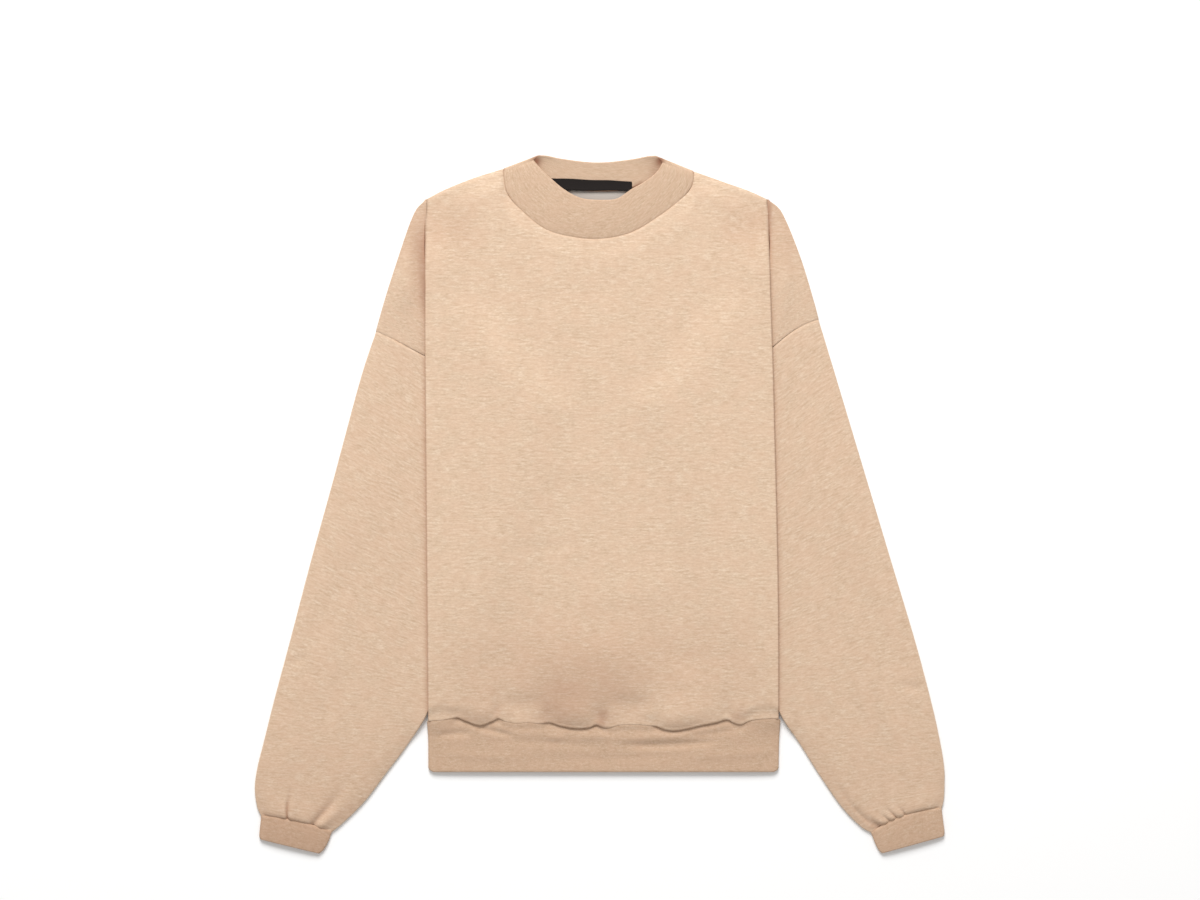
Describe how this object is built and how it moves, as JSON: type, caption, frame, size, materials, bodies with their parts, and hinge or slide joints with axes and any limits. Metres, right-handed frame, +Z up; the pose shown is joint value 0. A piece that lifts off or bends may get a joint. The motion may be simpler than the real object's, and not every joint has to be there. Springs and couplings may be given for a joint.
{
  "type": "crewneck sweatshirt",
  "caption": "Heather beige fleece sweatshirt laid flat, with a wide rib collar, dropped shoulders, side folds tucked in, rib cuffs and a rib waistband.",
  "frame": {"origin": "middle of the footprint, on the surface the garment lies on", "axes": "+Z up from the surface, +Y towards the neck, +X towards the wearer's left sleeve"},
  "size_m": [0.7804, 0.7882, 0.0114],
  "materials": {
    "body_fleece": "heather beige brushed fleece, matt, with fine lighter and darker slubs",
    "rib_knit": "heather beige rib knit, matt, a little darker than the body",
    "tape_twill": "near black plain woven tape, matt"
  },
  "bodies": {
    "root": {"back_panel": "body_fleece", "front_panel": "body_fleece", "sleeve_left": "body_fleece", "sleeve_right": "body_fleece", "cuff_left": "rib_knit", "cuff_right": "rib_knit", "hem_band": "rib_knit", "collar": "rib_knit", "neck_tape": "tape_twill"}
  },
  "joints": []
}
